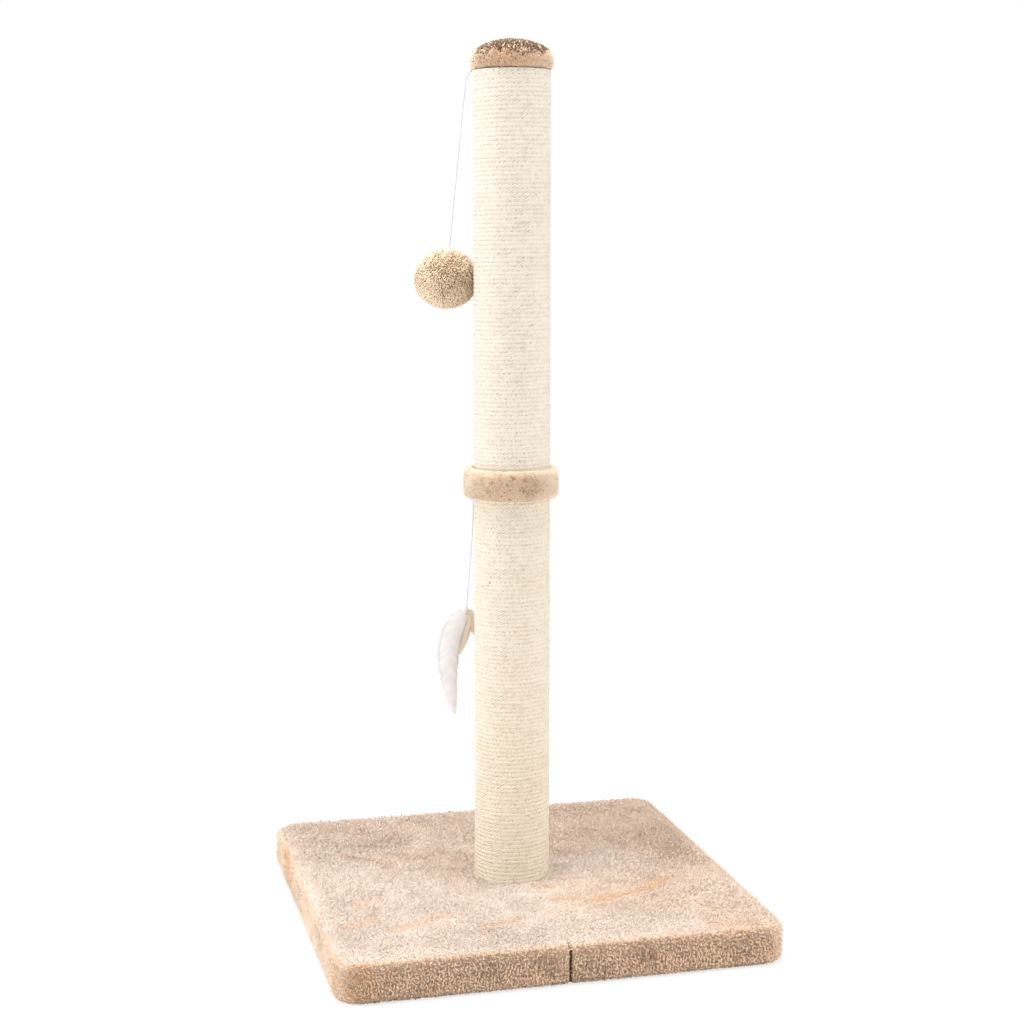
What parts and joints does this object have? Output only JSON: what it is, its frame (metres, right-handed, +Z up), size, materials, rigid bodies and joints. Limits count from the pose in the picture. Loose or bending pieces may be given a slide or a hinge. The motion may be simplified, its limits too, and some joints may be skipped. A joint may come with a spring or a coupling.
{
  "type": "cat scratching post",
  "caption": "Free-standing scratching post: rope-wound round post on a square plush base, with a plush cap and collar, a ball and feathers hung on cords.",
  "frame": {"origin": "middle of the underside of the base, on the floor", "axes": "+Z up along the post, +X and +Y along the sides of the base; the seamed edge of the base faces -Y and the toys hang at 147.2 degrees from +X"},
  "size_m": [0.4, 0.4, 0.8037],
  "materials": {
    "plush": "short dense polyester plush, peach with tan shade",
    "particle_board": "raw particle board",
    "lining_cloth": "thin spunbond cloth",
    "staple_steel": "galvanised wire",
    "bolt_steel": "zinc plated",
    "plug_wood": "sanded softwood",
    "cardboard": "spiral-wound grey-brown board",
    "rope": "twisted natural-fibre rope, pale",
    "wadding": "foam and fibre fill",
    "cord": "thin white cord",
    "binding_thread": "white thread",
    "feather": "soft vane and down, white to beige"
  },
  "bodies": {
    "post": {"ball_cord_tail": "cord", "base_board": "particle_board", "base_bolt": "bolt_steel", "base_lining": "lining_cloth", "base_plush_cover": "plush", "base_staples": "staple_steel", "base_washer": "bolt_steel", "cap_board": "particle_board", "cap_dowel_screw": "bolt_steel", "cap_plush_cover": "plush", "cap_wadding": "wadding", "collar_foam": "wadding", "collar_plush_cover": "plush", "cord_staples": "staple_steel", "feather_cord_tail": "cord", "joining_stud": "bolt_steel", "lower_foot_plug": "plug_wood", "lower_foot_tee_nut": "bolt_steel", "lower_head_plug": "plug_wood", "lower_head_tee_nut": "bolt_steel", "lower_post_tube": "cardboard", "lower_rope_turns": "rope", "lower_rope_winding": "rope", "plug_brads": "staple_steel", "upper_foot_plug": "plug_wood", "upper_foot_tee_nut": "bolt_steel", "upper_head_plug": "plug_wood", "upper_post_tube": "cardboard", "upper_rope_turns": "rope", "upper_rope_winding": "rope"},
    "ball_knot": {"ball_cord_knot": "cord"},
    "ball_cord_line": {"ball_cord": "cord"},
    "ball": {"ball_core": "wadding", "ball_plush_cover": "plush"},
    "feather_knot": {"feather_cord_knot": "cord"},
    "feather_cord_line": {"feather_cord": "cord"},
    "feathers": {"feather_binding": "binding_thread", "feather_large": "feather", "feather_middle": "feather", "feather_downy": "feather"}
  },
  "joints": [
    {"name": "ball_side_swing", "type": "hinge", "parent": "post", "child": "ball_knot", "pos_m": [-0.03295, 0.02124, 0.7763], "axis": [-0.8406, 0.5417, 0], "range_deg": [-80, 80]},
    {"name": "ball_outward_swing", "type": "hinge", "parent": "ball_knot", "child": "ball_cord_line", "pos_m": [-0.03295, 0.02124, 0.7763], "axis": [0.5417, 0.8406, 0], "range_deg": [0, 85]},
    {"name": "ball_spin", "type": "hinge", "parent": "ball_cord_line", "child": "ball", "pos_m": [-0.05329, 0.03434, 0.5915], "axis": [0.0905, -0.0583, 0.9942], "continuous": true},
    {"name": "feather_side_swing", "type": "hinge", "parent": "post", "child": "feather_knot", "pos_m": [-0.03161, 0.02037, 0.3904], "axis": [-0.8406, 0.5417, 0], "range_deg": [-80, 80]},
    {"name": "feather_outward_swing", "type": "hinge", "parent": "feather_knot", "child": "feather_cord_line", "pos_m": [-0.03161, 0.02037, 0.3904], "axis": [0.5417, 0.8406, 0], "range_deg": [0, 85]},
    {"name": "feather_spin", "type": "hinge", "parent": "feather_cord_line", "child": "feathers", "pos_m": [-0.03778, 0.02435, 0.2864], "axis": [0.0733, -0.0472, 0.9962], "range_deg": [-20, 90]}
  ]
}
